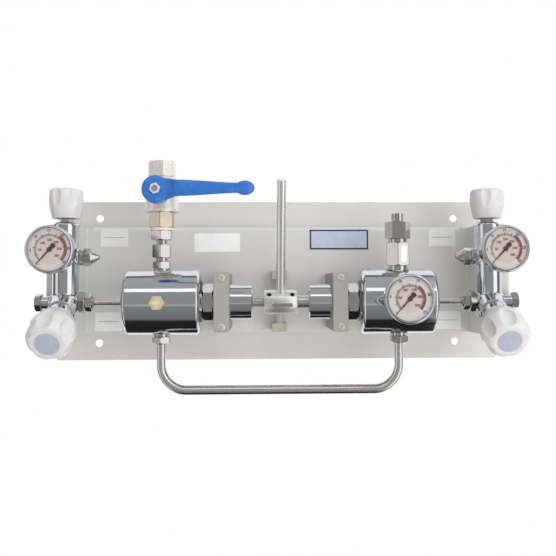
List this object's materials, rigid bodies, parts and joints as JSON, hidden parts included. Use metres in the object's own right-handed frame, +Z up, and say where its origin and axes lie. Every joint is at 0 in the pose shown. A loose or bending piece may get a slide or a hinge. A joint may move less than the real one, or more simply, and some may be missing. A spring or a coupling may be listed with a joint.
{
  "type": "gas manifold panel",
  "caption": "Wall-mounted gas manifold panel with valve blocks, gauges, regulators, a changeover lever, a ball valve outlet and a relief valve.",
  "frame": {"origin": "centre of the four wall holes, on the panel's wall face", "axes": "+X to the right seen from the front, +Y into the wall, +Z up; the front faces -Y"},
  "size_m": [0.53, 0.1805, 0.2532],
  "materials": {
    "panel_paint": "satin light grey",
    "chrome": "polished",
    "stainless": "drawn",
    "nickel": "satin nickel plate",
    "zinc": "zinc plated",
    "satin_aluminium": "satin",
    "brass": "machined",
    "knob_white": "moulded",
    "lever_blue": "plastic coated",
    "dial_white": "matt",
    "pointer_black": "matt",
    "window": "clear",
    "seal": "PTFE"
  },
  "bodies": {
    "panel": {"back_panel": "panel_paint", "valve_block_left": "chrome", "valve_block_right": "chrome", "isolation_glands": "chrome", "regulator_body_left": "chrome", "regulator_body_right": "chrome", "neck_nut_left": "chrome", "neck_nut_right": "chrome", "bonnet_left": "chrome", "bonnet_right": "chrome", "gauge_case_left": "chrome", "gauge_case_right": "chrome", "gauge_case_regulator": "chrome", "outlet_lock_nuts": "chrome", "purge_nozzles": "chrome", "inlet_adaptors": "chrome", "inlet_caps": "chrome", "purge_glands": "chrome", "relief_valve_body": "chrome", "relief_nut": "chrome", "inlet_tubes": "stainless", "tube_nuts": "stainless", "loop_tube": "stainless", "loop_fittings": "stainless", "ball_valve_body": "nickel", "ball_valve_end": "nickel", "outlet_adaptors": "nickel", "union_nut": "nickel", "rear_screws": "zinc", "clamp_screws": "zinc", "clamp_saddle_left": "satin_aluminium", "clamp_saddle_right": "satin_aluminium", "clamp_cap_left": "satin_aluminium", "clamp_cap_right": "satin_aluminium", "selector_rest": "satin_aluminium", "front_plug": "brass", "gauge_dials": "dial_white", "gauge_windows": "window", "sealing_ring": "seal", "ball_seats": "seal"},
    "purge_left": {"purge_spindle_left": "stainless", "purge_knob_left": "knob_white"},
    "purge_right": {"purge_spindle_right": "stainless", "purge_knob_right": "knob_white"},
    "isolation_left": {"isolation_spindle_left": "stainless", "isolation_knob_left": "knob_white"},
    "isolation_right": {"isolation_spindle_right": "stainless", "isolation_knob_right": "knob_white"},
    "outlet_handle": {"ball": "stainless", "valve_stem": "stainless", "valve_lever": "lever_blue", "lever_nut": "zinc"},
    "selector_feed": {"thrust_pads": "stainless"},
    "selector": {"selector_hub": "satin_aluminium", "selector_lever": "stainless", "selector_grub_screws": "zinc", "selector_shaft": "stainless"},
    "pointer_left": {"gauge_pointer_left": "pointer_black"},
    "pointer_right": {"gauge_pointer_right": "pointer_black"},
    "pointer_regulator": {"gauge_pointer_regulator": "pointer_black"}
  },
  "joints": [
    {"name": "purge_valve_left", "type": "hinge", "parent": "panel", "child": "purge_left", "pos_m": [-0.2322, -0.0917, 0.0622], "axis": [0, 0, 1], "range_deg": [0, 720]},
    {"name": "isolation_valve_left", "type": "hinge", "parent": "panel", "child": "isolation_left", "pos_m": [-0.2322, -0.0917, -0.024], "axis": [0, -0.866, -0.5], "range_deg": [0, 720]},
    {"name": "purge_valve_right", "type": "hinge", "parent": "panel", "child": "purge_right", "pos_m": [0.2292, -0.0917, 0.0622], "axis": [0, 0, 1], "range_deg": [0, 720]},
    {"name": "isolation_valve_right", "type": "hinge", "parent": "panel", "child": "isolation_right", "pos_m": [0.2292, -0.0917, -0.024], "axis": [0, -0.866, -0.5], "range_deg": [0, 720]},
    {"name": "outlet_valve", "type": "hinge", "parent": "panel", "child": "outlet_handle", "pos_m": [-0.1288, -0.0917, 0.09275], "axis": [0, -1, 0], "range_deg": [0, 90]},
    {"name": "selector_feed", "type": "slide", "parent": "panel", "child": "selector_feed", "axis": [1, 0, 0], "range_m": [0, 0.0012]},
    {"name": "selector_turn", "type": "hinge", "parent": "selector_feed", "child": "selector", "pos_m": [0.0002, -0.0917, -0.024], "axis": [1, 0, 0], "range_deg": [0, 130]},
    {"name": "pointer_left", "type": "hinge", "parent": "panel", "child": "pointer_left", "pos_m": [-0.2375, -0.0917, 0.0314], "axis": [0, 1, 0], "range_deg": [0, 270], "stiffness_Nm_per_rad": 0.0001},
    {"name": "pointer_right", "type": "hinge", "parent": "panel", "child": "pointer_right", "pos_m": [0.2345, -0.0917, 0.0314], "axis": [0, 1, 0], "range_deg": [0, 270], "stiffness_Nm_per_rad": 0.0001},
    {"name": "pointer_regulator", "type": "hinge", "parent": "panel", "child": "pointer_regulator", "pos_m": [0.1252, -0.0917, -0.0199], "axis": [0, 1, 0], "range_deg": [0, 270], "stiffness_Nm_per_rad": 0.0001}
  ],
  "couplings": [
    {"joint": "selector_feed", "follows": "selector_turn", "m_per_rad": 0.00047746}
  ]
}
